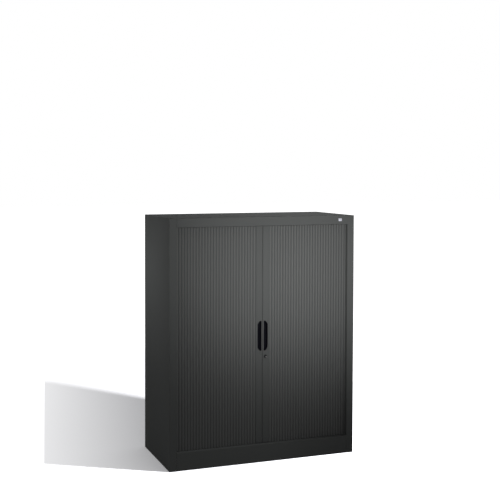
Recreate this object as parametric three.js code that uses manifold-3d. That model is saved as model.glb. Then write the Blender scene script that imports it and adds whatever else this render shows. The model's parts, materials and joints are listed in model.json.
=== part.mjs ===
// Roller shutter sideboard: a steel cupboard with two ribbed shutters that slide sideways.
// Each shutter runs in curved tracks from the middle of the front, round its front corner,
// along the side and round the back corner. Millimetres, +Z up, front towards -Y,
// origin at the middle of the footprint on the floor.

import * as THREE from "three";
import { mergeVertices } from "three/addons/utils/BufferGeometryUtils.js";
import Module from "manifold-3d";

const wasm = await Module();
wasm.setup();

// Whole cupboard
const cabinetWidth = 1000;
const cabinetDepth = 420;
const cabinetHeight = 1230;

// Sheet metal and fits
const sheet = 1;
const foldRadius = 2;
const seatGap = 0.3;
const runningGap = 1;
const cutOverrun = 2;
const mergeTolerance = 0.001;

// Front frame, plinth and back
const jambWidth = 37;
const fasciaHeight = 45;
const plinthHeight = 90;
const frameReturn = 20;
const floorHem = 20;
const rearFlange = 20;
const topHem = 18;
const panFlange = 20;
const backPanelInset = 6;

// Shutter track
const shutterSetback = 25;
const curtainThickness = 6;
const trackClearance = 0.5;
const trackWall = 1.5;
const trackHeight = 13;
const cornerRadius = 25;
const trackBackRun = 45;
const trackEndWall = 3;

// Shutter curtain
const slatPitch = 15.1;
const cornerSlatCount = 1;
const slatGroove = 7;
const slatGrooveDepth = 2.2;
const slatCrown = 0.8;
const slatNotch = 3;
const slatNotchDepth = 2;
const tuckWidth = 6;

// Lead stile
const meetingGap = 2.5;
const stileWidth = 34.75;
const stileWall = 1.5;
const stileDepth = 14;
const stileLip = 3;
const stileFold = 2.5;

// Handle cup
const handleFromEdge = 5.25;
const handleWidth = 21;
const handleHeight = 150;
const handleCentreHeight = 631;
const handleTopFlat = 6;
const handleChamferHeight = 21;
const handleCornerRadius = 4;
const handleShoulderRadius = 8;
const cupDepth = 19;
const cupWall = 1.5;
const cupFlange = 1.5;

// Glides
const glideGrip = 30;
const glideWall = 4;
const glideFit = 0.5;

// Lock
const lockFromEdge = 14.75;
const lockBelowHandle = 30;
const collarRadius = 9;
const collarFaceRadius = 7.4;
const collarHeight = 5;
const lockBodyRadius = 8;
const lockBodyLength = 22;
const lockNutFlats = 19;
const lockNutThickness = 4;
const plugRadius = 5.6;
const plugProud = 3;
const plugFlangeRadius = 6.6;
const keywayWidth = 1.8;
const keywayHeight = 7;
const keywayDepth = 12;
const tangWidth = 7;
const camThickness = 2;
const camHalfWidth = 5;
const camHubRadius = 8;
const camHookInner = 24.5;
const camHookWidth = 5;
const camHookDrop = 11;
const camScrewRadius = 2.5;
const camScrewHeadRadius = 4.5;
const camScrewHeadHeight = 2.5;
const camScrewLength = 10;
const strikeThickness = 2;
const strikeHeight = 24;
const strikeBelowCam = 1;
const strikeReach = 13;
const strikeLeadIn = 3;

// Linings, uprights, shelves and clips
const liningFrontInset = 60;
const liningRearInset = 38;
const liningSetIn = 6;
const liningFlange = 13;
const uprightSheet = 1.5;
const uprightWidth = 30;
const uprightFrontInset = 90;
const uprightRearInset = 60;
const slotPitch = 36;
const slotWidth = 5;
const slotHeight = 14;
const slotEndMargin = 60;
const shelfCount = 2;
const shelfEndGap = 1.5;
const shelfFrontInset = 64;
const shelfRearInset = 20;
const shelfFlange = 25;
const shelfLip = 12;
const clipThickness = 2;
const clipWidth = 4;
const clipTongue = 14;
const clipTongueThickness = 3;
const clipNeckHeight = 5;
const clipHookDrop = 6;
const clipLegDrop = 12;

// Levelling feet, their brackets and the access plugs
const plugFromUpright = 4;
const footInsetY = 60;
const footPadRadius = 16;
const footPadHeight = 8;
const footPadEdge = 2.5;
const footNeckRadius = 8;
const footNeckHeight = 3;
const footStemRadius = 5;
const footStemLength = 54;
const footSlotWidth = 1.6;
const footSlotDepth = 3;
const bracketSheet = 3;
const bracketWidth = 50;
const bracketEdge = 10;
const bracketTopReach = 26;
const bracketPlateHeight = 38;
const bracketNutFlats = 17;
const bracketNutHeight = 8;
const stemClearance = 0.4;
const plugHoleRadius = 9;
const plugCapRadius = 11;
const plugCapHeight = 1.5;
const plugSkirtDepth = 5;
const plugSkirtWall = 1.2;

// Facets on round stretches
const foldSteps = 3;
const cornerSteps = 6;
const roundSides = 24;
const smallSides = 12;
const hexSides = 6;
const crownSteps = 4;

// Places that follow from the sizes above
const halfWidth = cabinetWidth / 2;
const frontY = -cabinetDepth / 2;
const backY = cabinetDepth / 2;
const openingHalf = halfWidth - jambWidth;
const sideInnerX = halfWidth - sheet;
const topUnderside = cabinetHeight - sheet;
const fasciaBottom = cabinetHeight - fasciaHeight;
const noseBottom = cabinetHeight - foldRadius - seatGap;
const rearFlangeBackY = backY - sheet - seatGap;
const rearFlangeFrontY = rearFlangeBackY - sheet;

const shutterFaceY = frontY + shutterSetback;
const curtainY = shutterFaceY + curtainThickness / 2;
const channelHalf = curtainThickness / 2 + trackClearance;
const trackHalf = channelHalf + trackWall;
const sideRunX = sideInnerX - seatGap - trackHalf;
const cornerX = sideRunX - cornerRadius;
const frontCornerY = curtainY + cornerRadius;
const backRunY = rearFlangeFrontY - seatGap - trackHalf;
const backCornerY = backRunY - cornerRadius;

const panFrontY = curtainY - trackHalf - sheet;
const panBackY = rearFlangeFrontY - seatGap;
const panHalfX = sideInnerX - seatGap;
const floorTop = plinthHeight - trackHeight - seatGap;
const lowerTrackBottom = floorTop + seatGap;
const upperTrackBottom = fasciaBottom + sheet + runningGap;
const ceilingBottom = upperTrackBottom + trackHeight + seatGap;
const curtainBottom = lowerTrackBottom + trackWall + seatGap;
const curtainTop = upperTrackBottom + trackHeight - trackWall - runningGap;

const stileMeetingX = meetingGap / 2;
const stileOuterX = stileMeetingX + stileWidth;
const stileBottom = plinthHeight + runningGap;
const stileTop = upperTrackBottom - runningGap;
const stilePlateBackY = shutterFaceY + stileWall;

const handleInnerX = stileMeetingX + handleFromEdge;
const handleOuterX = handleInnerX + handleWidth;
const lockX = stileMeetingX + lockFromEdge;
const lockZ = handleCentreHeight - handleHeight / 2 - lockBelowHandle;
const lockBodyBackY = shutterFaceY + lockBodyLength;
const camFrontY = lockBodyBackY + runningGap;
const camBackY = camFrontY + camThickness;
const strikeTop = lockZ - camHalfWidth - strikeBelowCam;

const liningX = openingHalf + liningSetIn;
const liningBottom = floorTop + seatGap;
const liningTop = ceilingBottom - seatGap;
const slatCount = Math.ceil((cornerX - stileOuterX - seatGap) / slatPitch) + cornerSlatCount;
const slotCount = Math.floor((liningTop - liningBottom - 2 * slotEndMargin) / slotPitch) + 1;
const frontUprightY = frontY + uprightFrontInset;
const rearUprightY = backY - uprightRearInset;
const footX = openingHalf - plugFromUpright - plugCapRadius;

// Finishes, as plain colours for each piece
const finishes = {
  paint: { color: 0x3b3d3d, roughness: 0.55, metalness: 0.1 },
  slats: { color: 0x3d3f3f, roughness: 0.5, metalness: 0 },
  track: { color: 0x1c1d1e, roughness: 0.6, metalness: 0 },
  moulding: { color: 0x0d0d0f, roughness: 0.45, metalness: 0 },
  nickel: { color: 0xb9bbbd, roughness: 0.3, metalness: 1 },
  zinc: { color: 0x9a9c9e, roughness: 0.45, metalness: 1 },
};

const cupboard = new THREE.Group();

// A triangle geometry as a solid that can be joined and cut
function solidOf(geometry) {
  const loose = geometry.index ? geometry.toNonIndexed() : geometry;
  const bare = new THREE.BufferGeometry();
  bare.setAttribute("position", loose.getAttribute("position"));
  const merged = mergeVertices(bare, mergeTolerance);
  const index = merged.index.array;
  const kept = [];
  for (let i = 0; i < index.length; i += 3) {
    const [a, b, c] = [index[i], index[i + 1], index[i + 2]];
    if (a !== b && b !== c && c !== a) kept.push(a, b, c);
  }
  const vertProperties = merged.getAttribute("position").array;
  return new wasm.Manifold(new wasm.Mesh({ numProp: 3, vertProperties, triVerts: new Uint32Array(kept) }));
}

// Adds a finished solid to the cupboard as one named mesh
function addPiece(name, solid, finish) {
  const made = solid.getMesh();
  const geometry = new THREE.BufferGeometry();
  geometry.setAttribute("position", new THREE.BufferAttribute(made.vertProperties, 3));
  geometry.setIndex(new THREE.BufferAttribute(made.triVerts, 1));
  geometry.computeVertexNormals();
  const piece = new THREE.Mesh(geometry, new THREE.MeshStandardMaterial(finishes[finish]));
  piece.name = name;
  cupboard.add(piece);
}

// Which way an outline's two coordinates and its extrusion point, for each axis of extrusion
const bases = {
  x: [new THREE.Vector3(0, 1, 0), new THREE.Vector3(0, 0, 1), new THREE.Vector3(1, 0, 0)],
  y: [new THREE.Vector3(1, 0, 0), new THREE.Vector3(0, 0, 1), new THREE.Vector3(0, -1, 0)],
  z: [new THREE.Vector3(1, 0, 0), new THREE.Vector3(0, 1, 0), new THREE.Vector3(0, 0, 1)],
};

// A prism on an outline: along x the outline is in y and z, along y in x and z, along z in x and y
function prism(outline, axis, from, to) {
  const shape = new THREE.Shape(outline.map(([u, v]) => new THREE.Vector2(u, v)));
  const geometry = new THREE.ExtrudeGeometry(shape, { depth: to - from, bevelEnabled: false });
  geometry.applyMatrix4(new THREE.Matrix4().makeBasis(...bases[axis]));
  const start = axis === "y" ? to : from;
  geometry.translate(axis === "x" ? start : 0, axis === "y" ? start : 0, axis === "z" ? start : 0);
  return solidOf(geometry);
}

function block([x0, x1], [y0, y1], [z0, z1]) {
  const geometry = new THREE.BoxGeometry(x1 - x0, y1 - y0, z1 - z0);
  geometry.translate((x0 + x1) / 2, (y0 + y1) / 2, (z0 + z1) / 2);
  return solidOf(geometry);
}

// A block given for the right-hand side, or its mirror image on the left
function sideBlock(side, [x0, x1], ySpan, zSpan) {
  return block(side > 0 ? [x0, x1] : [-x1, -x0], ySpan, zSpan);
}

// A round or many-sided bar along an axis; its centre is in the other two coordinates
function bar(axis, [u, v], radius, from, to, sides = roundSides) {
  const geometry = new THREE.CylinderGeometry(radius, radius, to - from, sides);
  geometry.rotateX(Math.PI / 2);
  geometry.translate(0, 0, (from + to) / 2);
  if (axis === "y") {
    geometry.rotateX(-Math.PI / 2);
    geometry.translate(u, 0, v);
  } else {
    geometry.translate(u, v, 0);
  }
  return solidOf(geometry);
}

// A hexagonal bar, given its width across the flats
function hexBar(axis, centre, flats, from, to) {
  return bar(axis, centre, flats / 2 / Math.cos(Math.PI / hexSides), from, to, hexSides);
}

// A turned piece on an axis; its profile is in radius and distance along the axis, from the low end up
function turned(axis, [u, v], profile, sides = roundSides) {
  const points = profile.map(([radius, along]) => new THREE.Vector2(radius, along));
  const geometry = new THREE.LatheGeometry(points, sides);
  if (axis === "y") {
    geometry.translate(u, 0, v);
  } else {
    geometry.rotateX(Math.PI / 2);
    geometry.translate(u, v, 0);
  }
  return solidOf(geometry);
}

function join(...solids) {
  return solids.reduce((whole, next) => whole.add(next));
}

function cut(solid, ...tools) {
  return tools.reduce((rest, tool) => rest.subtract(tool), solid);
}

function mirrored(outline, side) {
  return outline.map(([x, y]) => [side * x, y]);
}

// Points of an arc from one angle to another
function arc([cx, cy], radius, from, to, steps) {
  const points = [];
  for (let i = 0; i <= steps; i += 1) {
    const angle = from + ((to - from) * i) / steps;
    points.push([cx + radius * Math.cos(angle), cy + radius * Math.sin(angle)]);
  }
  return points;
}

// A closed outline whose corners are rounded, each with its own radius
function roundedOutline(corners, radii) {
  return corners.flatMap(([x, y], i) => {
    const radius = radii[i];
    if (radius <= 0) return [[x, y]];
    const here = new THREE.Vector2(x, y);
    const before = new THREE.Vector2(...corners.at(i - 1)).sub(here).normalize();
    const after = new THREE.Vector2(...corners[(i + 1) % corners.length]).sub(here).normalize();
    const half = Math.acos(before.dot(after)) / 2;
    const middle = before.clone().add(after).normalize();
    const centre = here.clone().addScaledVector(middle, radius / Math.sin(half));
    const start = here.clone().addScaledVector(before, radius / Math.tan(half)).sub(centre);
    const end = here.clone().addScaledVector(after, radius / Math.tan(half)).sub(centre);
    const turn = Math.atan2(start.x * end.y - start.y * end.x, start.dot(end));
    return arc([centre.x, centre.y], radius, start.angle(), start.angle() + turn, foldSteps);
  });
}

// The section of a folded sheet, given the line of its outer face. The sheet lies to the left of the line.
function foldedSheet(line, thickness, radius) {
  const points = line.map((point) => new THREE.Vector2(...point));
  const lefts = points.slice(1).map((point, i) => {
    const along = point.clone().sub(points[i]).normalize();
    return new THREE.Vector2(-along.y, along.x);
  });
  const inner = points.map((point, i) => {
    const before = lefts[Math.max(i - 1, 0)];
    const after = lefts[Math.min(i, lefts.length - 1)];
    const mitre = before.clone().add(after);
    return point.clone().addScaledVector(mitre, thickness / mitre.dot(after));
  });
  const last = points.length - 1;
  const outerRadii = points.map((_, i) => {
    if (i === 0 || i === last) return 0;
    return lefts[i - 1].cross(lefts[i]) > 0 ? radius : radius - thickness;
  });
  const innerRadii = outerRadii.map((r) => (r > 0 ? 2 * radius - thickness - r : 0));
  const corners = [...points, ...inner.toReversed()].map((point) => [point.x, point.y]);
  return roundedOutline(corners, [...outerRadii, ...innerRadii.toReversed()]);
}

// A shallow folded pan with flanges at its front, back and ends, turned down or up from its face,
// with its corners notched
function pan({ halfX, front, back, face, flange, lip, direction }) {
  const line = [
    [back - lip, -flange],
    [back, -flange],
    [back, 0],
    [front, 0],
    [front, -flange],
    [front + lip, -flange],
  ];
  const endLine = [
    [halfX, -flange],
    [halfX, 0],
    [halfX - flange, 0],
  ];
  const place = ([u, z]) => [u, face - direction * z];
  const section = foldedSheet(lip > 0 ? line : line.slice(1, -1), sheet, foldRadius).map(place);
  const endSection = foldedSheet(endLine, sheet, foldRadius).map(place);
  const reach = halfX - foldRadius;
  const ends = [-1, 1].map((side) =>
    prism(mirrored(endSection, side), "y", front + foldRadius, back - foldRadius),
  );
  return join(prism(section, "x", -reach, reach), ...ends);
}

// A side panel: outer sheet, front jamb with its return, rear flange and the hem that it stands on
function sidePanel(side) {
  const line = [
    [openingHalf, frontY + frameReturn],
    [openingHalf, frontY],
    [halfWidth, frontY],
    [halfWidth, rearFlangeBackY],
    [halfWidth - rearFlange, rearFlangeBackY],
  ];
  const section = foldedSheet(line, sheet, foldRadius);
  const wall = prism(mirrored(section, side), "z", 0, topUnderside - seatGap);
  const hemSpan = [frontY + foldRadius, rearFlangeBackY - foldRadius];
  const hem = sideBlock(side, [halfWidth - floorHem, sideInnerX + sheet / 2], hemSpan, [0, sheet]);
  const underNose = sideBlock(
    side,
    [openingHalf - cutOverrun, halfWidth + cutOverrun],
    [frontY - cutOverrun, frontY + foldRadius],
    [noseBottom - seatGap, cabinetHeight],
  );
  return cut(join(wall, hem), underNose);
}

// The top: sheet with a rolled front nose, fascia between the jambs, side hems and a rear flange
function topPanel() {
  const nose = [
    [rearFlangeBackY, cabinetHeight - topHem],
    [rearFlangeBackY, cabinetHeight],
    [frontY, cabinetHeight],
    [frontY, noseBottom],
  ];
  const cover = prism(foldedSheet(nose, sheet, foldRadius), "x", -halfWidth, halfWidth);
  const rearNotches = [-1, 1].map((side) =>
    sideBlock(
      side,
      [halfWidth - rearFlange - seatGap, halfWidth + cutOverrun],
      [rearFlangeFrontY - seatGap, backY],
      [cabinetHeight - topHem - cutOverrun, topUnderside],
    ),
  );
  const drop = [
    [shutterFaceY, cabinetHeight],
    [frontY, cabinetHeight],
    [frontY, fasciaBottom],
    [frontY + frameReturn, fasciaBottom],
  ];
  const fasciaHalf = openingHalf - seatGap;
  const fascia = prism(foldedSheet(drop, sheet, foldRadius), "x", -fasciaHalf, fasciaHalf);
  const hems = [-1, 1].map((side) =>
    sideBlock(
      side,
      [panHalfX - sheet, panHalfX],
      [frontY + frameReturn, panBackY - foldRadius],
      [cabinetHeight - topHem, cabinetHeight - sheet / 2],
    ),
  );
  return join(cut(cover, ...rearNotches), fascia, ...hems);
}

// The pan above the shutters, which carries the upper tracks
function ceilingPanel() {
  const flange = cabinetHeight - topHem - seatGap - ceilingBottom;
  return pan({
    halfX: panHalfX,
    front: panFrontY,
    back: panBackY,
    face: ceilingBottom,
    flange,
    lip: 0,
    direction: 1,
  });
}

function footCentres() {
  return [
    ["front_left", -footX, frontY + footInsetY],
    ["front_right", footX, frontY + footInsetY],
    ["rear_left", -footX, backY - footInsetY],
    ["rear_right", footX, backY - footInsetY],
  ];
}

// The pan that carries the lower tracks and forms the lowest storage floor
function floorPanel() {
  const tray = pan({
    halfX: panHalfX,
    front: panFrontY,
    back: panBackY,
    face: floorTop,
    flange: panFlange,
    lip: 0,
    direction: -1,
  });
  const holes = footCentres().map(([, x, y]) =>
    bar("z", [x, y], plugHoleRadius, floorTop - sheet - cutOverrun, floorTop + cutOverrun, smallSides),
  );
  return cut(tray, ...holes);
}

// The front rail: sill on top, front face, and a hem that stands on the floor
function plinthFront() {
  const sillBackY = panFrontY - seatGap;
  const line = [
    [sillBackY, floorTop - panFlange],
    [sillBackY, plinthHeight],
    [frontY, plinthHeight],
    [frontY, 0],
    [frontY + floorHem, 0],
  ];
  const reach = openingHalf - seatGap;
  return prism(foldedSheet(line, sheet, foldRadius), "x", -reach, reach);
}

function plinthRear() {
  const line = [
    [rearFlangeBackY - floorHem, 0],
    [rearFlangeBackY, 0],
    [rearFlangeBackY, floorTop - sheet - seatGap],
  ];
  const reach = halfWidth - rearFlange - seatGap;
  return prism(foldedSheet(line, sheet, foldRadius), "x", -reach, reach);
}

function backPanel() {
  const reach = halfWidth - backPanelInset;
  return block([-reach, reach], [backY - sheet, backY], [backPanelInset, cabinetHeight - backPanelInset]);
}

// A point of the track's line moved outwards by an offset, as the whole path from the middle of the front
function pathEdge(offset, startX, endX) {
  const radius = cornerRadius + offset;
  return [
    [startX, curtainY - offset],
    ...arc([cornerX, frontCornerY], radius, -Math.PI / 2, 0, cornerSteps),
    ...arc([cornerX, backCornerY], radius, 0, Math.PI / 2, cornerSteps),
    [endX, backRunY + offset],
  ];
}

function trackBand(side, half, startX, endX) {
  const band = [...pathEdge(half, startX, endX), ...pathEdge(-half, startX, endX).toReversed()];
  return mirrored(band, side);
}

// A channel that guides the shutter's edge. Its groove opens upwards in a lower track, downwards in
// an upper one.
function track(side, bottom, opensUp) {
  const startX = seatGap / 2;
  const endX = cornerX - trackBackRun;
  const body = prism(trackBand(side, trackHalf, startX, endX), "z", bottom, bottom + trackHeight);
  const from = opensUp ? bottom + trackWall : bottom - cutOverrun;
  const to = opensUp ? bottom + trackHeight + cutOverrun : bottom + trackHeight - trackWall;
  const groove = trackBand(side, channelHalf, startX - cutOverrun, endX + trackEndWall);
  return cut(body, prism(groove, "z", from, to));
}

// A point of the curtain, by its distance from the lead stile along the track and its offset outwards
function curtainPoint(distance, offset) {
  const straight = cornerX - stileOuterX - seatGap;
  if (distance <= straight) return [stileOuterX + seatGap + distance, curtainY - offset];
  const angle = (distance - straight) / cornerRadius;
  const radius = cornerRadius + offset;
  return [cornerX + radius * Math.sin(angle), frontCornerY - radius * Math.cos(angle)];
}

// The ribbed curtain: crowned slats with a groove between them in front, and a notch at the back
// that leaves a thin web to bend, tucked behind the lead stile at its first edge
function curtain(side) {
  const face = curtainThickness / 2;
  const slatFace = slatPitch - slatGroove;
  const front = [];
  const rear = [];
  for (let i = 0; i < slatCount; i += 1) {
    const start = i * slatPitch + slatGroove / 2;
    for (let j = 0; j <= crownSteps; j += 1) {
      const share = j / crownSteps;
      const fall = slatCrown * (2 * share - 1) ** 2;
      front.push(curtainPoint(start + share * slatFace, face - fall));
    }
    const seam = (i + 1) * slatPitch;
    const backFace = slatPitch - slatNotch;
    const backSteps = stileOuterX + seam > cornerX ? crownSteps : 1;
    for (let j = 1; j <= backSteps; j += 1) {
      rear.push(curtainPoint(seam - slatNotch / 2 - (1 - j / backSteps) * backFace, -face));
    }
    if (i < slatCount - 1) {
      front.push(curtainPoint(seam, face - slatGrooveDepth));
      rear.push(curtainPoint(seam, slatNotchDepth - face));
      rear.push(curtainPoint(seam + slatNotch / 2, -face));
    }
  }
  const end = slatCount * slatPitch;
  const tuckX = stileOuterX - tuckWidth;
  const tuckFrontY = stilePlateBackY + seatGap;
  const outline = [
    [tuckX, curtainY + face],
    [tuckX, tuckFrontY],
    [stileOuterX + seatGap, tuckFrontY],
    ...front,
    curtainPoint(end, face - slatCrown),
    curtainPoint(end, -face),
    ...rear.toReversed(),
  ];
  return prism(mirrored(outline, side), "z", curtainBottom, curtainTop);
}

// The outline of a handle recess: a flat side by the meeting edge and two chamfered outer corners
function handleOutline(side, inset) {
  const bottom = handleCentreHeight - handleHeight / 2;
  const top = handleCentreHeight + handleHeight / 2;
  const slope = new THREE.Vector2(handleChamferHeight, handleWidth - handleTopFlat).normalize();
  const cornerX0 = handleInnerX + handleTopFlat + (inset * (slope.y - 1)) / slope.x;
  const outerX = handleOuterX - inset;
  const run = outerX - handleInnerX - handleTopFlat;
  const drop = (inset + slope.x * run) / slope.y;
  const corners = [
    [handleInnerX + inset, bottom + inset],
    [cornerX0, bottom + inset],
    [outerX, bottom + drop],
    [outerX, top - drop],
    [cornerX0, top - inset],
    [handleInnerX + inset, top - inset],
  ];
  const corner = handleCornerRadius - inset;
  const shoulder = handleShoulderRadius - inset;
  const radii = [0, corner, shoulder, shoulder, corner, 0];
  return mirrored(roundedOutline(corners, radii), side);
}

// The lead stile: a folded strip with openings for the handle cup and, on the right, for the lock
function stile(side) {
  const line = [
    [stileMeetingX + stileLip, shutterFaceY + stileDepth],
    [stileMeetingX, shutterFaceY + stileDepth],
    [stileMeetingX, shutterFaceY],
    [stileOuterX, shutterFaceY],
  ];
  const section = foldedSheet(line, stileWall, stileFold);
  const strip = prism(mirrored(section, side), "z", stileBottom, stileTop);
  const handleHole = prism(
    handleOutline(side, -seatGap),
    "y",
    shutterFaceY - cutOverrun,
    stilePlateBackY + cutOverrun,
  );
  const holed = cut(strip, handleHole);
  const lipFrontY = shutterFaceY + stileDepth - stileWall;
  const strikeNotch = block(
    [-stileMeetingX - stileLip - cutOverrun, -stileMeetingX - stileWall],
    [lipFrontY - seatGap, shutterFaceY + stileDepth + cutOverrun],
    [strikeTop - strikeHeight - seatGap, strikeTop + seatGap],
  );
  if (side < 0) return cut(holed, strikeNotch);
  const lockHole = bar(
    "y",
    [lockX, lockZ],
    lockBodyRadius + seatGap,
    shutterFaceY - cutOverrun,
    stilePlateBackY + cutOverrun,
  );
  return cut(holed, lockHole);
}

// The moulded cup behind the handle opening, with a thin flange that holds it behind the stile
function handleCup(side) {
  const cupBackY = shutterFaceY + cupDepth;
  const shell = prism(handleOutline(side, 0), "y", shutterFaceY, cupBackY);
  const flangeFrontY = stilePlateBackY + seatGap;
  const flange = prism(handleOutline(side, -cupFlange), "y", flangeFrontY, flangeFrontY + cupWall);
  const hollow = prism(handleOutline(side, cupWall), "y", shutterFaceY - cutOverrun, cupBackY - cupWall);
  return cut(join(shell, flange), hollow);
}

// A glide in a stile's end: a foot inside the stile and a tongue that runs in the track
function glide(side, top) {
  const innerX = stileMeetingX + stileWall + glideFit;
  const outerX = stileOuterX - tuckWidth - seatGap;
  const plateBack = stilePlateBackY + seatGap;
  const lipFront = shutterFaceY + stileDepth - stileWall - seatGap;
  const footSpan = top ? [stileTop - glideGrip, stileTop] : [stileBottom, stileBottom + glideGrip];
  const tongueSpan = top
    ? [stileTop - glideWall, curtainTop]
    : [curtainBottom, stileBottom + glideWall];
  const tongueHalf = curtainThickness / 2 - seatGap;
  const foot = sideBlock(side, [innerX, outerX], [plateBack, lipFront], footSpan);
  const relief = sideBlock(
    side,
    [innerX + glideWall, outerX - glideWall],
    [plateBack + glideWall, lipFront + cutOverrun],
    top
      ? [stileTop - glideGrip - cutOverrun, stileTop - glideWall]
      : [stileBottom + glideWall, stileBottom + glideGrip + cutOverrun],
  );
  const tongueThickness = [curtainY - tongueHalf, curtainY + tongueHalf];
  const tongue = sideBlock(side, [innerX, outerX], tongueThickness, tongueSpan);
  const clearOfPlate = sideBlock(
    side,
    [stileMeetingX, stileOuterX],
    [shutterFaceY - cutOverrun, plateBack],
    [stileBottom - seatGap, stileTop + seatGap],
  );
  return join(cut(foot, relief), cut(tongue, clearOfPlate));
}

// The lock's body: a tapered collar on the stile's face and a bored body behind it
function lockCollar() {
  const collarBackY = shutterFaceY - seatGap;
  const profile = [
    [0, shutterFaceY - collarHeight],
    [collarFaceRadius, shutterFaceY - collarHeight],
    [collarRadius, collarBackY - collarHeight / 2],
    [collarRadius, collarBackY],
    [lockBodyRadius, collarBackY],
    [lockBodyRadius, lockBodyBackY],
    [0, lockBodyBackY],
  ];
  const bore = bar(
    "y",
    [lockX, lockZ],
    plugRadius + seatGap,
    shutterFaceY - collarHeight - cutOverrun,
    lockBodyBackY + cutOverrun,
  );
  return cut(turned("y", [lockX, lockZ], profile), bore);
}

function lockNut() {
  const front = stilePlateBackY + seatGap;
  const back = front + lockNutThickness;
  const nut = hexBar("y", [lockX, lockZ], lockNutFlats, front, back);
  const bore = bar("y", [lockX, lockZ], lockBodyRadius + seatGap, front - cutOverrun, back + cutOverrun);
  return cut(nut, bore);
}

// The turning plug: a flanged face with the keyway, a round body and a square tang for the cam
function lockPlug() {
  const collarFaceY = shutterFaceY - collarHeight;
  const profile = [
    [0, collarFaceY - plugProud],
    [plugRadius, collarFaceY - plugProud],
    [plugFlangeRadius, collarFaceY - plugProud / 2],
    [plugFlangeRadius, collarFaceY - seatGap],
    [plugRadius, collarFaceY - seatGap],
    [plugRadius, camFrontY - seatGap],
    [0, camFrontY - seatGap],
  ];
  const tangHalf = tangWidth / 2;
  const tang = block(
    [lockX - tangHalf, lockX + tangHalf],
    [camFrontY - cutOverrun, camBackY],
    [lockZ - tangHalf, lockZ + tangHalf],
  );
  const keyway = block(
    [lockX - keywayWidth / 2, lockX + keywayWidth / 2],
    [collarFaceY - plugProud - cutOverrun, collarFaceY - plugProud + keywayDepth],
    [lockZ - keywayHeight / 2, lockZ + keywayHeight / 2],
  );
  const screwHole = bar(
    "y",
    [lockX, lockZ],
    camScrewRadius + seatGap,
    camBackY - camScrewLength - seatGap,
    camBackY + cutOverrun,
    smallSides,
  );
  return cut(join(turned("y", [lockX, lockZ], profile), tang), keyway, screwHole);
}

// The hooked cam, standing up at rest; a quarter turn swings its hook behind the strike plate
function lockCam() {
  const tipRadius = camHookInner + camHookWidth;
  const upright = Math.PI / 2;
  const tipEnd = upright + Math.asin(camHookDrop / tipRadius);
  const throatStart = upright + Math.asin(camHookDrop / camHookInner);
  const throatEnd = upright + Math.asin(camHalfWidth / camHookInner);
  const outline = [
    [lockX + camHalfWidth, lockZ],
    ...arc([lockX, lockZ], tipRadius, Math.acos(camHalfWidth / tipRadius), tipEnd, cornerSteps),
    ...arc([lockX, lockZ], camHookInner, throatStart, throatEnd, foldSteps),
    [lockX - camHalfWidth, lockZ],
  ];
  const hub = bar("y", [lockX, lockZ], camHubRadius, camFrontY, camBackY);
  const holeHalf = tangWidth / 2 + seatGap;
  const squareHole = block(
    [lockX - holeHalf, lockX + holeHalf],
    [camFrontY - cutOverrun, camBackY + cutOverrun],
    [lockZ - holeHalf, lockZ + holeHalf],
  );
  return cut(join(prism(outline, "y", camFrontY, camBackY), hub), squareHole);
}

function camScrew() {
  const headFront = camBackY + seatGap;
  const profile = [
    [0, camBackY - camScrewLength],
    [camScrewRadius, camBackY - camScrewLength],
    [camScrewRadius, headFront],
    [camScrewHeadRadius, headFront],
    [camScrewHeadRadius, headFront + camScrewHeadHeight / 2],
    [camScrewRadius, headFront + camScrewHeadHeight],
    [0, headFront + camScrewHeadHeight],
  ];
  return turned("y", [lockX, lockZ], profile, smallSides);
}

// The strike plate inside the left stile's meeting fold, which the cam's hook reaches over
function strikePlate() {
  const outerX = stileMeetingX + stileWall + glideFit;
  const front = stilePlateBackY + glideFit;
  const back = shutterFaceY + stileDepth + strikeReach;
  const outline = [
    [front, strikeTop - strikeHeight],
    [back - strikeLeadIn, strikeTop - strikeHeight],
    [back, strikeTop - strikeHeight + strikeLeadIn],
    [back, strikeTop - strikeLeadIn],
    [back - strikeLeadIn, strikeTop],
    [front, strikeTop],
  ];
  return prism(outline, "x", -outerX - strikeThickness, -outerX);
}

// An inner side wall that hides the stored shutter
function lining(side) {
  const line = [
    [liningX + liningFlange, backY - liningRearInset],
    [liningX, backY - liningRearInset],
    [liningX, frontY + liningFrontInset],
    [liningX + liningFlange, frontY + liningFrontInset],
  ];
  const section = foldedSheet(line, sheet, foldRadius);
  return prism(mirrored(section, side), "z", liningBottom, liningTop);
}

function slotBottom(index) {
  return liningBottom + slotEndMargin + index * slotPitch;
}

// A slotted upright that stands on the lining's inner face
function upright(side, centreY) {
  const half = uprightWidth / 2;
  const line = [
    [liningX - seatGap, centreY + half],
    [openingHalf, centreY + half],
    [openingHalf, centreY - half],
    [liningX - seatGap, centreY - half],
  ];
  const section = foldedSheet(line, uprightSheet, foldRadius);
  const channel = prism(mirrored(section, side), "z", liningBottom, liningTop);
  const slots = [];
  for (let i = 0; i < slotCount; i += 1) {
    slots.push(
      sideBlock(
        side,
        [openingHalf - cutOverrun, openingHalf + uprightSheet + cutOverrun],
        [centreY - slotWidth / 2, centreY + slotWidth / 2],
        [slotBottom(i), slotBottom(i) + slotHeight],
      ),
    );
  }
  return cut(channel, ...slots);
}

// The slot that each shelf's clips hook into, the nearest to an even share of the height
function shelfSlot(number) {
  const evenFace = floorTop + ((ceilingBottom - floorTop) * number) / (shelfCount + 1);
  return Math.round((evenFace - shelfFlange - clipNeckHeight - slotBottom(0)) / slotPitch);
}

function clipTop(number) {
  return slotBottom(shelfSlot(number)) + seatGap + clipNeckHeight;
}

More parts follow.
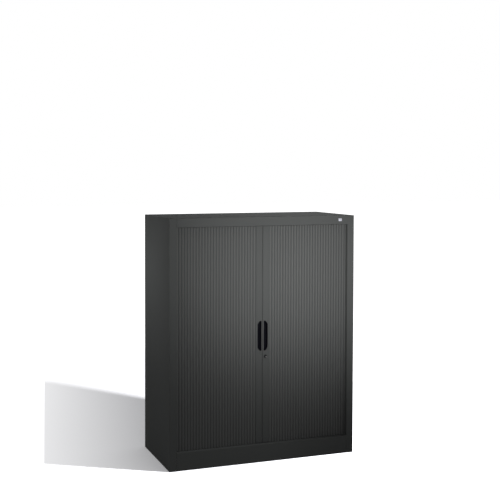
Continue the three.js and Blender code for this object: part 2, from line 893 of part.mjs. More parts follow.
// A shelf clip: a tongue under the shelf's edge and a hook through a slot of the upright
function shelfClip(side, centreY, number) {
  const slotZ = slotBottom(shelfSlot(number));
  const top = clipTop(number);
  const legBackX = openingHalf - seatGap;
  const legFrontX = legBackX - clipThickness;
  const hookFrontX = openingHalf + uprightSheet + seatGap;
  const outline = [
    [legFrontX - clipTongue, top - clipTongueThickness],
    [legFrontX - clipTongue, top],
    [hookFrontX + clipThickness, top],
    [hookFrontX + clipThickness, slotZ - clipHookDrop],
    [hookFrontX, slotZ - clipHookDrop],
    [hookFrontX, slotZ + seatGap],
    [legBackX, slotZ + seatGap],
    [legBackX, slotZ - clipLegDrop],
    [legFrontX, slotZ - clipLegDrop],
    [legFrontX, top - clipTongueThickness],
  ];
  return prism(mirrored(outline, side), "y", centreY - clipWidth / 2, centreY + clipWidth / 2);
}

function shelf(number) {
  return pan({
    halfX: openingHalf - shelfEndGap,
    front: frontY + shelfFrontInset,
    back: backY - shelfRearInset,
    face: clipTop(number) + seatGap + shelfFlange,
    flange: shelfFlange,
    lip: shelfLip,
    direction: -1,
  });
}

// A levelling foot: round pad, neck and stem with a screwdriver slot
function foot(x, y) {
  const neckTop = footPadHeight + footNeckHeight;
  const profile = [
    [0, 0],
    [footPadRadius - footPadEdge, 0],
    [footPadRadius, footPadEdge],
    [footPadRadius, footPadHeight - footPadEdge],
    [footPadRadius - footPadEdge, footPadHeight],
    [footNeckRadius, footPadHeight],
    [footStemRadius, neckTop],
    [footStemRadius, neckTop + footStemLength],
    [0, neckTop + footStemLength],
  ];
  const slot = block(
    [x - footSlotWidth / 2, x + footSlotWidth / 2],
    [y - footStemRadius - cutOverrun, y + footStemRadius + cutOverrun],
    [neckTop + footStemLength - footSlotDepth, neckTop + footStemLength + cutOverrun],
  );
  return cut(turned("z", [x, y], profile, smallSides), slot);
}

// A foot bracket under the floor panel: top flange, web, and a plate with a welded nut for the stem
function footBracket(x, y) {
  const side = Math.sign(x);
  const webX = panHalfX - sheet - seatGap;
  const topZ = floorTop - sheet - seatGap;
  const line = [
    [footX - bracketNutFlats / 2 - bracketEdge, bracketPlateHeight],
    [webX, bracketPlateHeight],
    [webX, topZ],
    [webX - bracketTopReach, topZ],
  ];
  const section = foldedSheet(line, bracketSheet, bracketSheet + foldRadius);
  const halfSpan = bracketWidth / 2;
  const body = prism(mirrored(section, side), "y", y - halfSpan, y + halfSpan);
  const nut = hexBar(
    "z",
    [x, y],
    bracketNutFlats,
    bracketPlateHeight - bracketNutHeight,
    bracketPlateHeight + bracketSheet / 2,
  );
  const bore = bar(
    "z",
    [x, y],
    footStemRadius + stemClearance,
    bracketPlateHeight - bracketNutHeight - cutOverrun,
    bracketPlateHeight + bracketSheet + cutOverrun,
    smallSides,
  );
  return cut(join(body, nut), bore);
}

// The plug in a foot's access hole: a thin cap with a skirt below it
function accessPlug(x, y) {
  const capBottom = floorTop + seatGap;
  const skirtRadius = plugHoleRadius - seatGap;
  const profile = [
    [0, capBottom],
    [skirtRadius - plugSkirtWall, capBottom],
    [skirtRadius - plugSkirtWall, floorTop - plugSkirtDepth],
    [skirtRadius, floorTop - plugSkirtDepth],
    [skirtRadius, capBottom],
    [plugCapRadius, capBottom],
    [plugCapRadius, capBottom + plugCapHeight / 2],
    [plugCapRadius - plugCapHeight / 2, capBottom + plugCapHeight],
    [0, capBottom + plugCapHeight],
  ];
  return turned("z", [x, y], profile, smallSides);
}

const sides = [
  ["left", -1],
  ["right", 1],
];

addPiece("top_panel", topPanel(), "paint");
addPiece("ceiling_panel", ceilingPanel(), "paint");
addPiece("floor_panel", floorPanel(), "paint");
addPiece("plinth_front", plinthFront(), "paint");
addPiece("plinth_rear", plinthRear(), "paint");
addPiece("back_panel", backPanel(), "paint");

for (const [label, side] of sides) {
  addPiece(`${label}_side_panel`, sidePanel(side), "paint");
  addPiece(`${label}_lining`, lining(side), "paint");
  addPiece(`${label}_front_upright`, upright(side, frontUprightY), "paint");
  addPiece(`${label}_rear_upright`, upright(side, rearUprightY), "paint");
  addPiece(`lower_${label}_track`, track(side, lowerTrackBottom, true), "track");
  addPiece(`upper_${label}_track`, track(side, upperTrackBottom, false), "track");
  addPiece(`${label}_curtain`, curtain(side), "slats");
  addPiece(`${label}_stile`, stile(side), "slats");
  addPiece(`${label}_handle_cup`, handleCup(side), "moulding");
  addPiece(`${label}_upper_glide`, glide(side, true), "moulding");
  addPiece(`${label}_lower_glide`, glide(side, false), "moulding");
}

addPiece("lower_shelf", shelf(1), "paint");
addPiece("upper_shelf", shelf(2), "paint");
for (const [level, number] of [["lower", 1], ["upper", 2]]) {
  for (const [label, side] of sides) {
    addPiece(`${level}_${label}_front_clip`, shelfClip(side, frontUprightY, number), "zinc");
    addPiece(`${level}_${label}_rear_clip`, shelfClip(side, rearUprightY, number), "zinc");
  }
}

addPiece("lock_collar", lockCollar(), "zinc");
addPiece("lock_nut", lockNut(), "zinc");
addPiece("lock_plug", lockPlug(), "nickel");
addPiece("lock_cam", lockCam(), "zinc");
addPiece("cam_screw", camScrew(), "zinc");
addPiece("strike_plate", strikePlate(), "zinc");

for (const [place, x, y] of footCentres()) {
  addPiece(`${place}_foot`, foot(x, y), "zinc");
  addPiece(`${place}_foot_bracket`, footBracket(x, y), "zinc");
  addPiece(`${place}_access_plug`, accessPlug(x, y), "moulding");
}

export default cupboard;
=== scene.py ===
from contextlib import contextmanager
import json
import math

import bmesh
import bpy
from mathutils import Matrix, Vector

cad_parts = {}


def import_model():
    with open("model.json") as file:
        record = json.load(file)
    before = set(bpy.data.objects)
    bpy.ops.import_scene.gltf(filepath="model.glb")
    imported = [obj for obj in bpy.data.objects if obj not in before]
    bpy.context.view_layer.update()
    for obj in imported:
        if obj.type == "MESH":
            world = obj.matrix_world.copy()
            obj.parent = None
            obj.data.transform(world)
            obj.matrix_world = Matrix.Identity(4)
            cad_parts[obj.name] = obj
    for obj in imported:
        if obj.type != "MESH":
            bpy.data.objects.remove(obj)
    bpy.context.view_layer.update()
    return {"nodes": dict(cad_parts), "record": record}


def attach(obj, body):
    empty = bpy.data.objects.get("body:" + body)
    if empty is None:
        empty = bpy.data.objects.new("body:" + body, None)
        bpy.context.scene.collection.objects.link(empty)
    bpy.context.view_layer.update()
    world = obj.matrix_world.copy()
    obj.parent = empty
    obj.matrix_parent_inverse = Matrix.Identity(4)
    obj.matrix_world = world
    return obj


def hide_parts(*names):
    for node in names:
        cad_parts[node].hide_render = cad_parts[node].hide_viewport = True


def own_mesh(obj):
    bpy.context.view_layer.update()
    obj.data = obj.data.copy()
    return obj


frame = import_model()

# Sizes of the cupboard, in millimetres, the same as the solids have
METRE = 1000
FRONT = -210
BACK = 210
HALF_WIDTH = 500
HEIGHT = 1230
SHUTTER_FACE = -185
CURTAIN_MIDDLE = -182
CURTAIN_BOTTOM = 78.8
CURTAIN_TOP = 1197.5
STILE_EDGE = 36.3
STILE_WALL = 1.5
TRACK_CORNER_X = 468.7
TRACK_CORNER_RADIUS = 25
FOOT_PAD_TOP = 11.2

# One slat: a crowned rib with sloping flanks on a thin web, and a pad behind it
SLAT_WIDTH = 14.9
SLAT_ROUND = 0.5
RIB_WIDTH = 8.1
RIB_FACE = 3
RIB_CROWN = 0.8
RIB_STEPS = 22
FLANK_WIDTH = 2.6
WEB_FRONT = 0.8
WEB_BACK = 1
BACK_PAD_WIDTH = 12.1
BACK_PAD_DEPTH = 3
# The name of the slats' weight for painted shade in their grooves
PAINTED_GROOVE_SHADE = "painted groove shade"

# The mat of slats: its pitch and how many slats it has
SLAT_PITCH = 15.1
SLAT_COUNT = 29

# The finger pull's D outline, and its section as pairs: how far inwards, how far behind the shutter's face
CUP_INNER_X = 6.5
CUP_WIDTH = 21
CUP_HEIGHT = 150
CUP_MIDDLE = 631
CUP_TOP_FLAT = 9
CUP_CHAMFER = 15
CUP_CORNER = 7
CUP_SHOULDER = 12
CUP_LEAST_CORNER = 0.6
CUP_INNER_CORNER = 0.5
CUP_SEAT_GAP = 0.3
CUP_SECTION = (
    (1.4, 19), (0.5, 18.6), (0.1, 17.6), (0, 3.3), (-1.5, 3.3), (-1.5, 1.8), (0, 1.8), (0, 0.3), (0.1, 0.1),
    (0.4, 0), (0.8, 0), (1.2, 0.15), (1.5, 0.5), (1.6, 1.2),
    (2.1, 15.4), (2.3, 16.4), (2.8, 17.1), (3.5, 17.5),
)

# The lock's axis, and its half sections as pairs of radius and Y
LOCK_X = 16
LOCK_Z = 526
LOCK_RING_SECTION = (
    (5.9, -189.5), (6.3, -190), (7, -190), (7.4, -189.75), (8.85, -187.8), (9, -187.2), (9, -185.5),
    (8.8, -185.3), (8, -185.3), (8, -163), (5.9, -163),
)
LOCK_CORE_SECTION = (
    (0, -193), (5.2, -193), (6.1, -192.65), (6.6, -191.8), (6.6, -190.3), (5.6, -190.3), (5.6, -162.3),
    (0, -162.3),
)
LOCK_CORE_FRONT = -193
LOCK_CORE_RIM = 3.8
KEYWAY_WIDTH = 1.8
KEYWAY_HEIGHT = 7
KEYWAY_DEPTH = 12
KEYWAY_CORNER = 0.3

# The blank plate on the fascia, and its section as pairs: how far inwards, how far in front of the fascia
PLATE_X = 420
PLATE_Z = 1208.5
PLATE_WIDTH = 19
PLATE_HEIGHT = 14
PLATE_CORNER = 3
PLATE_SECTION = ((0, 0.02), (0, 0.35), (0.15, 0.55), (0.4, 0.6))

# The seal in the seam between the stiles, with the radii of its corners from the left back one round
SEAL_LEFT = -1.2
SEAL_RIGHT = 0.9
SEAL_FRONT = -184.1
SEAL_BACK = -179
SEAL_BOTTOM = 80
SEAL_TOP = 1196
SEAL_CORNERS = (0, 0.2, 0.7, 0)

# The weld marks on the back panel: flat dishes with steep rims
WELD_LINE_X = 484
WELD_LINE_Z = 599
WELD_PITCH = 94
WELD_RADIUS = 3
WELD_STEEPNESS = 4
WELD_PEEL_SHARE = 0.1

# The front's rails end a hair's breadth from the jambs, and their welded seams are filled before painting
WELDED_RAILS = ("top_panel", "plinth_front")
RAIL_END = 462.7
RAIL_END_REACH = 0.05
JAMB_EDGE = 462.99

# Each stile with its side, and how far a cutter reaches past the faces that it cuts
STILES = {"left_stile": -1, "right_stile": 1}
CUTTER_REACH = 1
STILE_CUTTER_REACH = 0.15

# Nodes whose finished shapes are made here. The others get finished copies of their solids
REMADE = {"left_curtain", "right_curtain", "left_handle_cup", "right_handle_cup", "lock_collar", "lock_plug"}

# How curves and edges are made: angles in degrees, the merging distance in metres
EDGE_ROUND = 0.12
EDGE_STEPS = 2
SHARP_ANGLE = 40
FLAT_ANGLE = 0.5
MERGE_DISTANCE = 0.000004
ARC_STEPS = 6
SMALL_ARC_STEPS = 3
TURNED_SIDES = 48

# Colours of the finishes
COAT_DARK = (0.046, 0.048, 0.047)
COAT_LIGHT = (0.056, 0.058, 0.057)
# Painted shade: the darker colour that the slats' grooves get
SLAT_GROOVE_PAINTED_SHADE = (0.042, 0.043, 0.043)
SLAT_DARK = (0.058, 0.060, 0.059)
SLAT_LIGHT = (0.068, 0.070, 0.068)
TRACK_BLACK = (0.010, 0.010, 0.011)
MOULDING_BLACK = (0.001, 0.001, 0.002)
SEAL_BLACK = (0.02, 0.02, 0.02)
ZINC_DARK = (0.42, 0.43, 0.43)
ZINC_LIGHT = (0.60, 0.60, 0.58)
NICKEL_DARK = (0.07, 0.07, 0.07)
NICKEL_LIGHT = (0.105, 0.105, 0.10)
BLACK_NICKEL_DARK = (0.008, 0.008, 0.009)
BLACK_NICKEL_LIGHT = (0.016, 0.016, 0.017)
PLATE_DARK = (0.29, 0.29, 0.325)
PLATE_LIGHT = (0.38, 0.38, 0.42)
FOOT_RUBBER = (0.012, 0.012, 0.013)
FOOT_STEEL = (0.5, 0.5, 0.49)
WHITE = (1, 1, 1)
FLOOR_PALE = (0.94, 0.942, 0.985)
FLOOR_DULL = (0.06, 0.06, 0.06)

# Roughness of the finishes, how much rougher their grain makes them at most, and their shine
COAT_ROUGHNESS = 0.62
SLAT_ROUGHNESS = 0.6
TRACK_ROUGHNESS = 0.5
MOULDING_ROUGHNESS = 0.68
SEAL_ROUGHNESS = 0.6
ZINC_ROUGHNESS = 0.32
NICKEL_ROUGHNESS = 0.34
BLACK_NICKEL_ROUGHNESS = 0.42
PLATE_ROUGHNESS = 0.3
RUBBER_ROUGHNESS = 0.62
STEEL_SMOOTHER_BY = 0.25
PEEL_ROUGHENS = 0.08
STREAK_ROUGHENS = 0.1
BLACK_GRAIN_ROUGHENS = 0.15
SPANGLE_ROUGHENS = 0.18
WEAR_ROUGHENS = 0.1
FOOT_GRAIN_ROUGHENS = 0.12
COAT_SHINE = 0.01
BLACK_SHINE = 0.03

# Grain of the finishes: noise scales for a metre, turning marks in radians a metre, bump depths in metres
COAT_CLOUD = 2.2
COAT_PEEL = 420
COAT_GRIT = 2600
SLAT_CLOUD = 3
SLAT_STREAK = 60
SLAT_STREAK_STRETCH = (14, 14, 0.05)
SLAT_FINE = 900
SLAT_FINE_STRETCH = (1, 1, 0.02)
BLACK_CLOUD = 12
BLACK_GRAIN = 1500
BLACK_GRAIN_GAIN = 1.8
BLACK_GRAIN_LIFT = 0.001
PLATED_CLOUD = 40
PLATED_SPANGLE = 260
TURNED_WEAR = 700
TURNING_MARKS = 24000
FOOT_GRAIN = 1200
WELD_DEPTH = 0.0006
GRAIN_DEPTH = 0.0002
TURNING_DEPTH = 0.0001

# Sockets of a Mix node that mixes colours, by their order
MIX_FACTOR = 0
MIX_LOW = 6
MIX_HIGH = 7
MIX_RESULT = 2

# The floor, in metres. Its glow is painted light that lightens the cupboard's shadow: it rises beside the
# cupboard, and to full white past a line turned by degrees
FLOOR_HALF = 30
FLOOR_GLOW_START = 0.15
FLOOR_GLOW_RISE = 0.587
FLOOR_GLOW_END = 1.0545
FLOOR_GLOW_END_RISE = 80
FLOOR_GLOW_TURN = 10.09
FLOOR_GLOW_DEPTH_SHARE = 0.4
ROOM_LIGHT = 0.31

# The lamps, in metres, watts and degrees. Spots: name, place, target, radius, power, cone.
# Panels: name, place, target, width, power
SPOTS = (
    ("right front lamp", (-1.2, -3.3, 1.45), (0.27, -0.2, 0.92), 0.3, 440, 18.9),
    ("left front lamp", (-0.95, -3.4, 1.45), (0.16, -0.2, 1.17), 0.3, 580, 32.6),
    ("side lamp", (-3.4, -1.0, 1.5), (-0.5, 0.15, 0.98), 0.3, 303, 14.8),
    ("top lamp", (0.25, 0.1, 3.6), (0.25, 0.1, 1.23), 0.3, 175, 29),
    ("sill lamp", (-0.35, -1.7, 3.0), (-0.24, -0.2, 0.1), 0.2, 152, 23.4),
    ("rear lamp", (2.2, 3.4, 1.05), (0, 0.2, 0.7), 0.1, 400, 36),
)
PANELS = (
    ("front fill", (-0.9, -4.0, 1.5), (0, 0, 0.4), 1.5, 9.6),
    ("left side fill", (-3.6, 0.3, 1.0), (-0.5, 0, 0.6), 1.2, 11.6),
    ("right side fill", (3.6, 0.3, 1.0), (0.5, 0, 0.6), 1.2, 22),
)
SHADOW_LAMP = ("shadow lamp", (1.735, -1.435, 2.44), (0, 0, 0), 0.16, 200)

# The camera: angles in degrees, focal length and axis in the picture's pixels
CAMERA_PLACE = (-1.81408, -4.23627, 1.46497)
CAMERA_YAW = 18.14
CAMERA_PITCH = 1.68
CAMERA_FOCAL = 883.62
CAMERA_AXIS_X = 170
CAMERA_AXIS_Y = 195
CAMERA_REACH = 100
SENSOR_WIDTH = 36
PICTURE_WIDTH = 500
PICTURE_MIDDLE = 249.5


class Value:
    """A socket of a node tree. Sums written with values add the Math nodes that work them out."""

    def __init__(self, graph, socket):
        self.graph = graph
        self.socket = socket

    def maths(self, operation, first, second=None):
        inputs = {0: first} if second is None else {0: first, 1: second}
        return self.graph.node("ShaderNodeMath", {"operation": operation}, inputs)

    def __add__(self, other):
        return self.maths("ADD", self, other)

    def __radd__(self, other):
        return self.maths("ADD", other, self)

    def __sub__(self, other):
        return self.maths("SUBTRACT", self, other)

    def __rsub__(self, other):
        return self.maths("SUBTRACT", other, self)

    def __mul__(self, other):
        return self.maths("MULTIPLY", self, other)

    def __rmul__(self, other):
        return self.maths("MULTIPLY", other, self)

    def __truediv__(self, other):
        return self.maths("DIVIDE", self, other)

    def __pow__(self, other):
        return self.maths("POWER", self, other)

    def __gt__(self, other):
        return self.maths("GREATER_THAN", self, other)

    def __lt__(self, other):
        return self.maths("LESS_THAN", self, other)

    def size(self):
        return self.maths("ABSOLUTE", self)

    def nearest(self, step):
        """How far the value is from the nearest whole number of steps."""
        return self.maths("PINGPONG", self, step / 2)

    def sine(self):
        return self.maths("SINE", self)

    def cosine(self):
        return self.maths("COSINE", self)

    def at_least(self, other):
        return self.maths("MAXIMUM", self, other)

    def at_most(self, other):
        return self.maths("MINIMUM", self, other)

    def mixed(self, other, share):
        """This value by its share, and the other by the rest."""
        return self * share + other * (1 - share)


class Graph:
    """A node tree that is written as expressions."""

    def __init__(self, tree):
        self.tree = tree

    def node(self, kind, settings=None, inputs=None, output=0):
        made = self.tree.nodes.new(kind)
        for name, setting in (settings or {}).items():
            setattr(made, name, setting)
        for name, value in (inputs or {}).items():
            if isinstance(value, Value):
                self.tree.links.new(value.socket, made.inputs[name])
            else:
                made.inputs[name].default_value = value
        return Value(self, made.outputs[output]) if made.outputs else None


class Finish(Graph):
    """A material under construction."""

    def __init__(self, name):
        self.material = bpy.data.materials.new(name)
        self.material.use_nodes = True
        super().__init__(self.material.node_tree)
        self.tree.nodes.clear()

    def place(self, stretch=(1, 1, 1), centre=(0, 0, 0)):
        where = self.node("ShaderNodeTexCoord", output="Object")
        return self.node(
            "ShaderNodeMapping",
            {"vector_type": "POINT"},
            {"Vector": where, "Scale": stretch, "Location": [-c * s for c, s in zip(centre, stretch)]},
        )

    def along(self, axis, place):
        return self.node("ShaderNodeSeparateXYZ", {}, {"Vector": place}, axis)

    def noise(self, scale, detail, stretch=(1, 1, 1), roughness=0.5):
        inputs = {"Vector": self.place(stretch), "Scale": scale, "Detail": detail, "Roughness": roughness}
        return self.node("ShaderNodeTexNoise", {}, inputs, "Fac")

    def between(self, share, low, high):
        ends = [end if isinstance(end, Value) else (*end, 1) for end in (low, high)]
        inputs = {MIX_FACTOR: share, MIX_LOW: ends[0], MIX_HIGH: ends[1]}
        return self.node("ShaderNodeMix", {"data_type": "RGBA"}, inputs, MIX_RESULT)

    def bump(self, height, strength, distance):
        inputs = {"Height": height, "Strength": strength, "Distance": distance}
        return self.node("ShaderNodeBump", {}, inputs, "Normal")

    def surface(self, **inputs):
        named = {name.replace("_", " "): value for name, value in inputs.items()}
        shader = self.node("ShaderNodeBsdfPrincipled", {}, named, "BSDF")
        self.node("ShaderNodeOutputMaterial", {}, {"Surface": shader})
        return self.material


def powder_coat(name):
    finish = Finish(name)
    cloud = finish.noise(COAT_CLOUD, detail=3)
    peel = finish.noise(COAT_PEEL, detail=2)
    grit = finish.noise(COAT_GRIT, detail=1)
    return finish.surface(
        Base_Color=finish.between(cloud.mixed(grit, share=0.7), COAT_DARK, COAT_LIGHT),
        Roughness=COAT_ROUGHNESS + PEEL_ROUGHENS * peel,
        Specular_IOR_Level=COAT_SHINE,
        Normal=finish.bump(peel.mixed(grit, share=0.6), strength=0.12, distance=GRAIN_DEPTH),
    )


def welded_coat(name):
    """The coat of the back, with a row of shallow weld marks along each edge."""
    finish = Finish(name)
    place = finish.place(centre=(0, 0, HEIGHT / 2 / METRE))
    x = finish.along("X", place)
    z = finish.along("Z", place)
    marks = []
    for along, across, line in ((z, x, WELD_LINE_X), (x, z, WELD_LINE_Z)):
        off = across.size() - line / METRE
        gap = along.nearest(WELD_PITCH / METRE)
        marks.append(((off * off + gap * gap) ** 0.5) * METRE / WELD_RADIUS)
    dish = 1 - marks[0].at_most(marks[1]).at_most(1) ** WELD_STEEPNESS
    cloud = finish.noise(COAT_CLOUD, detail=3)
    peel = finish.noise(COAT_PEEL, detail=2)
    return finish.surface(
        Base_Color=finish.between(cloud.mixed(dish, share=0.8), COAT_DARK, COAT_LIGHT),
        Roughness=COAT_ROUGHNESS + PEEL_ROUGHENS * peel,
        Specular_IOR_Level=COAT_SHINE,
        Normal=finish.bump(peel * WELD_PEEL_SHARE - dish, strength=1, distance=WELD_DEPTH),
    )


def slat_plastic(name):
    finish = Finish(name)
    streak = finish.noise(SLAT_STREAK, detail=3, stretch=SLAT_STREAK_STRETCH)
    cloud = finish.noise(SLAT_CLOUD, detail=2)
    fine = finish.noise(SLAT_FINE, detail=2, stretch=SLAT_FINE_STRETCH)
    # Painted shade in the grooves: the deeper a point lies, the darker its colour
    depth = finish.node("ShaderNodeAttribute", {"attribute_name": PAINTED_GROOVE_SHADE}, {}, "Fac")
    face = finish.between(streak.mixed(cloud, share=0.5), SLAT_DARK, SLAT_LIGHT)
    return finish.surface(
        Base_Color=finish.between(depth, face, SLAT_GROOVE_PAINTED_SHADE),
        Roughness=SLAT_ROUGHNESS + STREAK_ROUGHENS * streak,
        Specular_IOR_Level=COAT_SHINE,
        Normal=finish.bump(fine, strength=0.08, distance=GRAIN_DEPTH),
    )


def grained_black(name, colour, roughness):
    finish = Finish(name)
    grain = finish.noise(BLACK_GRAIN, detail=3, roughness=0.6)
    cloud = finish.noise(BLACK_CLOUD, detail=2)
    lighter = [channel * BLACK_GRAIN_GAIN + BLACK_GRAIN_LIFT for channel in colour]
    return finish.surface(
        Base_Color=finish.between(grain.mixed(cloud, share=0.6), colour, lighter),
        Roughness=roughness + BLACK_GRAIN_ROUGHENS * grain,
        Specular_IOR_Level=BLACK_SHINE,
        Normal=finish.bump(grain, strength=0.25, distance=GRAIN_DEPTH),
    )


def plated(name, dark, light, roughness):
    finish = Finish(name)
    spangle = finish.noise(PLATED_SPANGLE, detail=3)
    cloud = finish.noise(PLATED_CLOUD, detail=2)
    return finish.surface(
        Base_Color=finish.between(cloud, dark, light),
        Metallic=1.0,
        Roughness=roughness + SPANGLE_ROUGHENS * spangle,
        Normal=finish.bump(spangle, strength=0.06, distance=GRAIN_DEPTH),
    )


def turned_metal(name, dark, light, roughness, rim=None):
    """Turned metal about the lock's axis, with the edge of its face darker where a rim is given."""
    finish = Finish(name)
    spot = finish.place(centre=(LOCK_X / METRE, 0, LOCK_Z / METRE))
    flat = finish.node("ShaderNodeVectorMath", {"operation": "MULTIPLY"}, {0: spot, 1: (1, 0, 1)})
    away = finish.node("ShaderNodeVectorMath", {"operation": "LENGTH"}, {0: flat}, "Value")
    rings = (away * TURNING_MARKS).sine() * 0.5 + 0.5
    wear = finish.noise(TURNED_WEAR, detail=3)
    colour = finish.between(wear, dark, light)
    if rim:
        colour = finish.between(away > LOCK_CORE_RIM / METRE, colour, rim)
    return finish.surface(
        Base_Color=colour,
        Metallic=1.0,
        Roughness=roughness + WEAR_ROUGHENS * wear,
        Normal=finish.bump(rings.mixed(wear, share=0.5), strength=0.1, distance=TURNING_DEPTH),
    )


def foot_finish(name):
    """Rubber up to the top of the foot's pad, and steel above it."""
    finish = Finish(name)
    stem = finish.along("Z", finish.place()) > FOOT_PAD_TOP / METRE
    grain = finish.noise(FOOT_GRAIN, detail=3)
    return finish.surface(
        Base_Color=finish.between(stem, FOOT_RUBBER, FOOT_STEEL),
        Metallic=stem,
        Roughness=RUBBER_ROUGHNESS - STEEL_SMOOTHER_BY * stem + FOOT_GRAIN_ROUGHENS * grain,
        Normal=finish.bump(grain, strength=0.15, distance=GRAIN_DEPTH),
    )


paint = powder_coat("anthracite powder coat")
back_paint = welded_coat("anthracite back coat")
strip_paint = powder_coat("anthracite stile coat")
slats = slat_plastic("anthracite slat plastic")
track_black = grained_black("black track plastic", TRACK_BLACK, TRACK_ROUGHNESS)
moulding = grained_black("black moulding", MOULDING_BLACK, MOULDING_ROUGHNESS)
zinc = plated("zinc plate", ZINC_DARK, ZINC_LIGHT, ZINC_ROUGHNESS)
seal_black = grained_black("dark seal", SEAL_BLACK, SEAL_ROUGHNESS)
nickel = turned_metal("dulled nickel", NICKEL_DARK, NICKEL_LIGHT, NICKEL_ROUGHNESS, rim=BLACK_NICKEL_DARK)
dark_nickel = turned_metal("black nickel", BLACK_NICKEL_DARK, BLACK_NICKEL_LIGHT, BLACK_NICKEL_ROUGHNESS)
blank_metal = plated("blank plate metal", PLATE_DARK, PLATE_LIGHT, PLATE_ROUGHNESS)
foot_metal = foot_finish("foot")

finish_of_slot = {
    "carcass_paint": paint,
    "shutter_strip": strip_paint,
    "shutter_slats": slats,
    "track_plastic": track_black,
    "black_moulding": moulding,
    "lock_collar": dark_nickel,
    "nickel": nickel,
    "zinc": zinc,
}

bodies = frame["record"]["behaviour"]["bodies"]
body_of_node = {node: body for body, nodes in bodies.items() for node in nodes}
slot_of_node = {entry["node"]: entry["material_slot"] for entry in frame["record"]["subparts"]}


def add_object(name, mesh, finish):
    mesh.name = name
    mesh.materials.clear()
    mesh.materials.append(finish)
    piece = bpy.data.objects.new(name, mesh)
    bpy.context.scene.collection.objects.link(piece)
    return piece


def settle(piece):
    """Works the piece's modifiers into its mesh and removes them."""
    graph = bpy.context.evaluated_depsgraph_get()
    mesh = bpy.data.meshes.new_from_object(
        piece.evaluated_get(graph), preserve_all_data_layers=True, depsgraph=graph
    )
    piece.modifiers.clear()
    worn = piece.data
    piece.data = mesh
    bpy.data.meshes.remove(worn)
    return piece


def fit(piece, node):
    """The piece stands for this CAD node, on its body, with the node hidden."""
    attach(piece, body_of_node[node])
    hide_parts(node)


def soften(piece):
    """Small rounded edges with flat faces left flat."""
    edge = piece.modifiers.new("edges", "BEVEL")
    edge.width = EDGE_ROUND / METRE
    edge.segments = EDGE_STEPS
    edge.limit_method = "ANGLE"
    edge.angle_limit = math.radians(SHARP_ANGLE)
    normals = piece.modifiers.new("normals", "WEIGHTED_NORMAL")
    normals.keep_sharp = True
    return settle(piece)


@contextmanager
def on_the_bench(mesh):
    """The mesh while it is worked on, put back when the work is done."""
    work = bmesh.new()
    work.from_mesh(mesh)
    yield work
    work.to_mesh(mesh)
    work.free()


def smooth(mesh):
    """Smooth faces, with a sharp edge wherever two faces meet at more than an angle."""
    with on_the_bench(mesh) as work:
        for face in work.faces:
            face.smooth = True
        for edge in work.edges:
            edge.smooth = not edge.is_manifold or edge.calc_face_angle(0) < math.radians(SHARP_ANGLE)


def join_faces(mesh):
    """Merges a mesh's doubles and joins its flat faces."""
    with on_the_bench(mesh) as work:
        bmesh.ops.remove_doubles(work, verts=work.verts, dist=MERGE_DISTANCE)
        flat = math.radians(FLAT_ANGLE)
        bmesh.ops.dissolve_limit(work, angle_limit=flat, verts=work.verts, edges=work.edges)
        for face in work.faces:
            face.smooth = True


def cut_away(piece, cutter):
    """Cuts one piece's form out of another, and takes the cutter off the bench."""
    cut = piece.modifiers.new("cut", "BOOLEAN")
    cut.operation = "DIFFERENCE"
    cut.solver = "EXACT"
    cut.object = cutter
    settle(piece)
    bpy.data.objects.remove(cutter)


def finished_copy(node, finish):
    """A CAD node's shape with its doubles merged, its flat faces joined and its edges rounded."""
    piece = add_object("finished_" + node, frame["nodes"][node].data.copy(), finish)
    join_faces(piece.data)
    if node in WELDED_RAILS:
        for vertex in piece.data.vertices:
            if abs(abs(vertex.co.x) * METRE - RAIL_END) < RAIL_END_REACH:
                vertex.co.x = math.copysign(JAMB_EDGE / METRE, vertex.co.x)
    if node in STILES:
        depths = (SHUTTER_FACE - CUTTER_REACH, SHUTTER_FACE + STILE_WALL + STILE_CUTTER_REACH)
        rings = [cup_ring(STILES[node], -CUP_SEAT_GAP, y) for y in depths]
        cut_away(piece, add_object("opening_cutter", loft(rings), finish))
        join_faces(piece.data)
    return soften(piece)


def arc(centre, radius, start, end, steps):
    turns = [start + (end - start) * i / steps for i in range(steps + 1)]
    return [(centre[0] + radius * math.cos(a), centre[1] + radius * math.sin(a)) for a in turns]


def rounded(corners, radii, steps=ARC_STEPS):
    """A closed outline with each corner rounded to its own radius."""
    outline = []
    for i, (corner, radius) in enumerate(zip(corners, radii)):
        if not radius:
            outline.append(corner)
            continue
        here = Vector(corner)
        before = (Vector(corners[i - 1]) - here).normalized()
        after = (Vector(corners[(i + 1) % len(corners)]) - here).normalized()
        half = before.angle(after) / 2
        centre = here + (before + after).normalized() * radius / math.sin(half)
        start = here + before * radius / math.tan(half) - centre
        end = here + after * radius / math.tan(half) - centre
        begin = math.atan2(start.y, start.x)
        turn = math.atan2(start.x * end.y - start.y * end.x, start.dot(end))
        outline += arc(centre, radius, begin, begin + turn, steps)
    return outline


def box_outline(half_width, half_height, radius, steps=ARC_STEPS):
    """A rectangle about the origin with round corners."""
    right_half = [(half_width, -half_height), (half_width, half_height)]
    corners = [(-half_width, -half_height), *right_half, (-half_width, half_height)]
    return rounded(corners, [radius] * len(corners), steps)


def loft(rings, closed=False):
    """A closed mesh through rings of points, in millimetres, capped at both ends or joined to a loop."""
    mesh = bpy.data.meshes.new("loft")
    with on_the_bench(mesh) as work:
        rows = [[work.verts.new(Vector(point) / METRE) for point in ring] for ring in rings]
        pairs = zip(rows, rows[1:] + rows[:1]) if closed else zip(rows, rows[1:])
        for low, high in pairs:
            for i in range(len(low)):
                j = (i + 1) % len(low)
                work.faces.new((low[i], low[j], high[j], high[i]))
        if not closed:
            work.faces.new(rows[0])
            work.faces.new(rows[-1])
        bmesh.ops.recalc_face_normals(work, faces=work.faces)
    smooth(mesh)
    return mesh


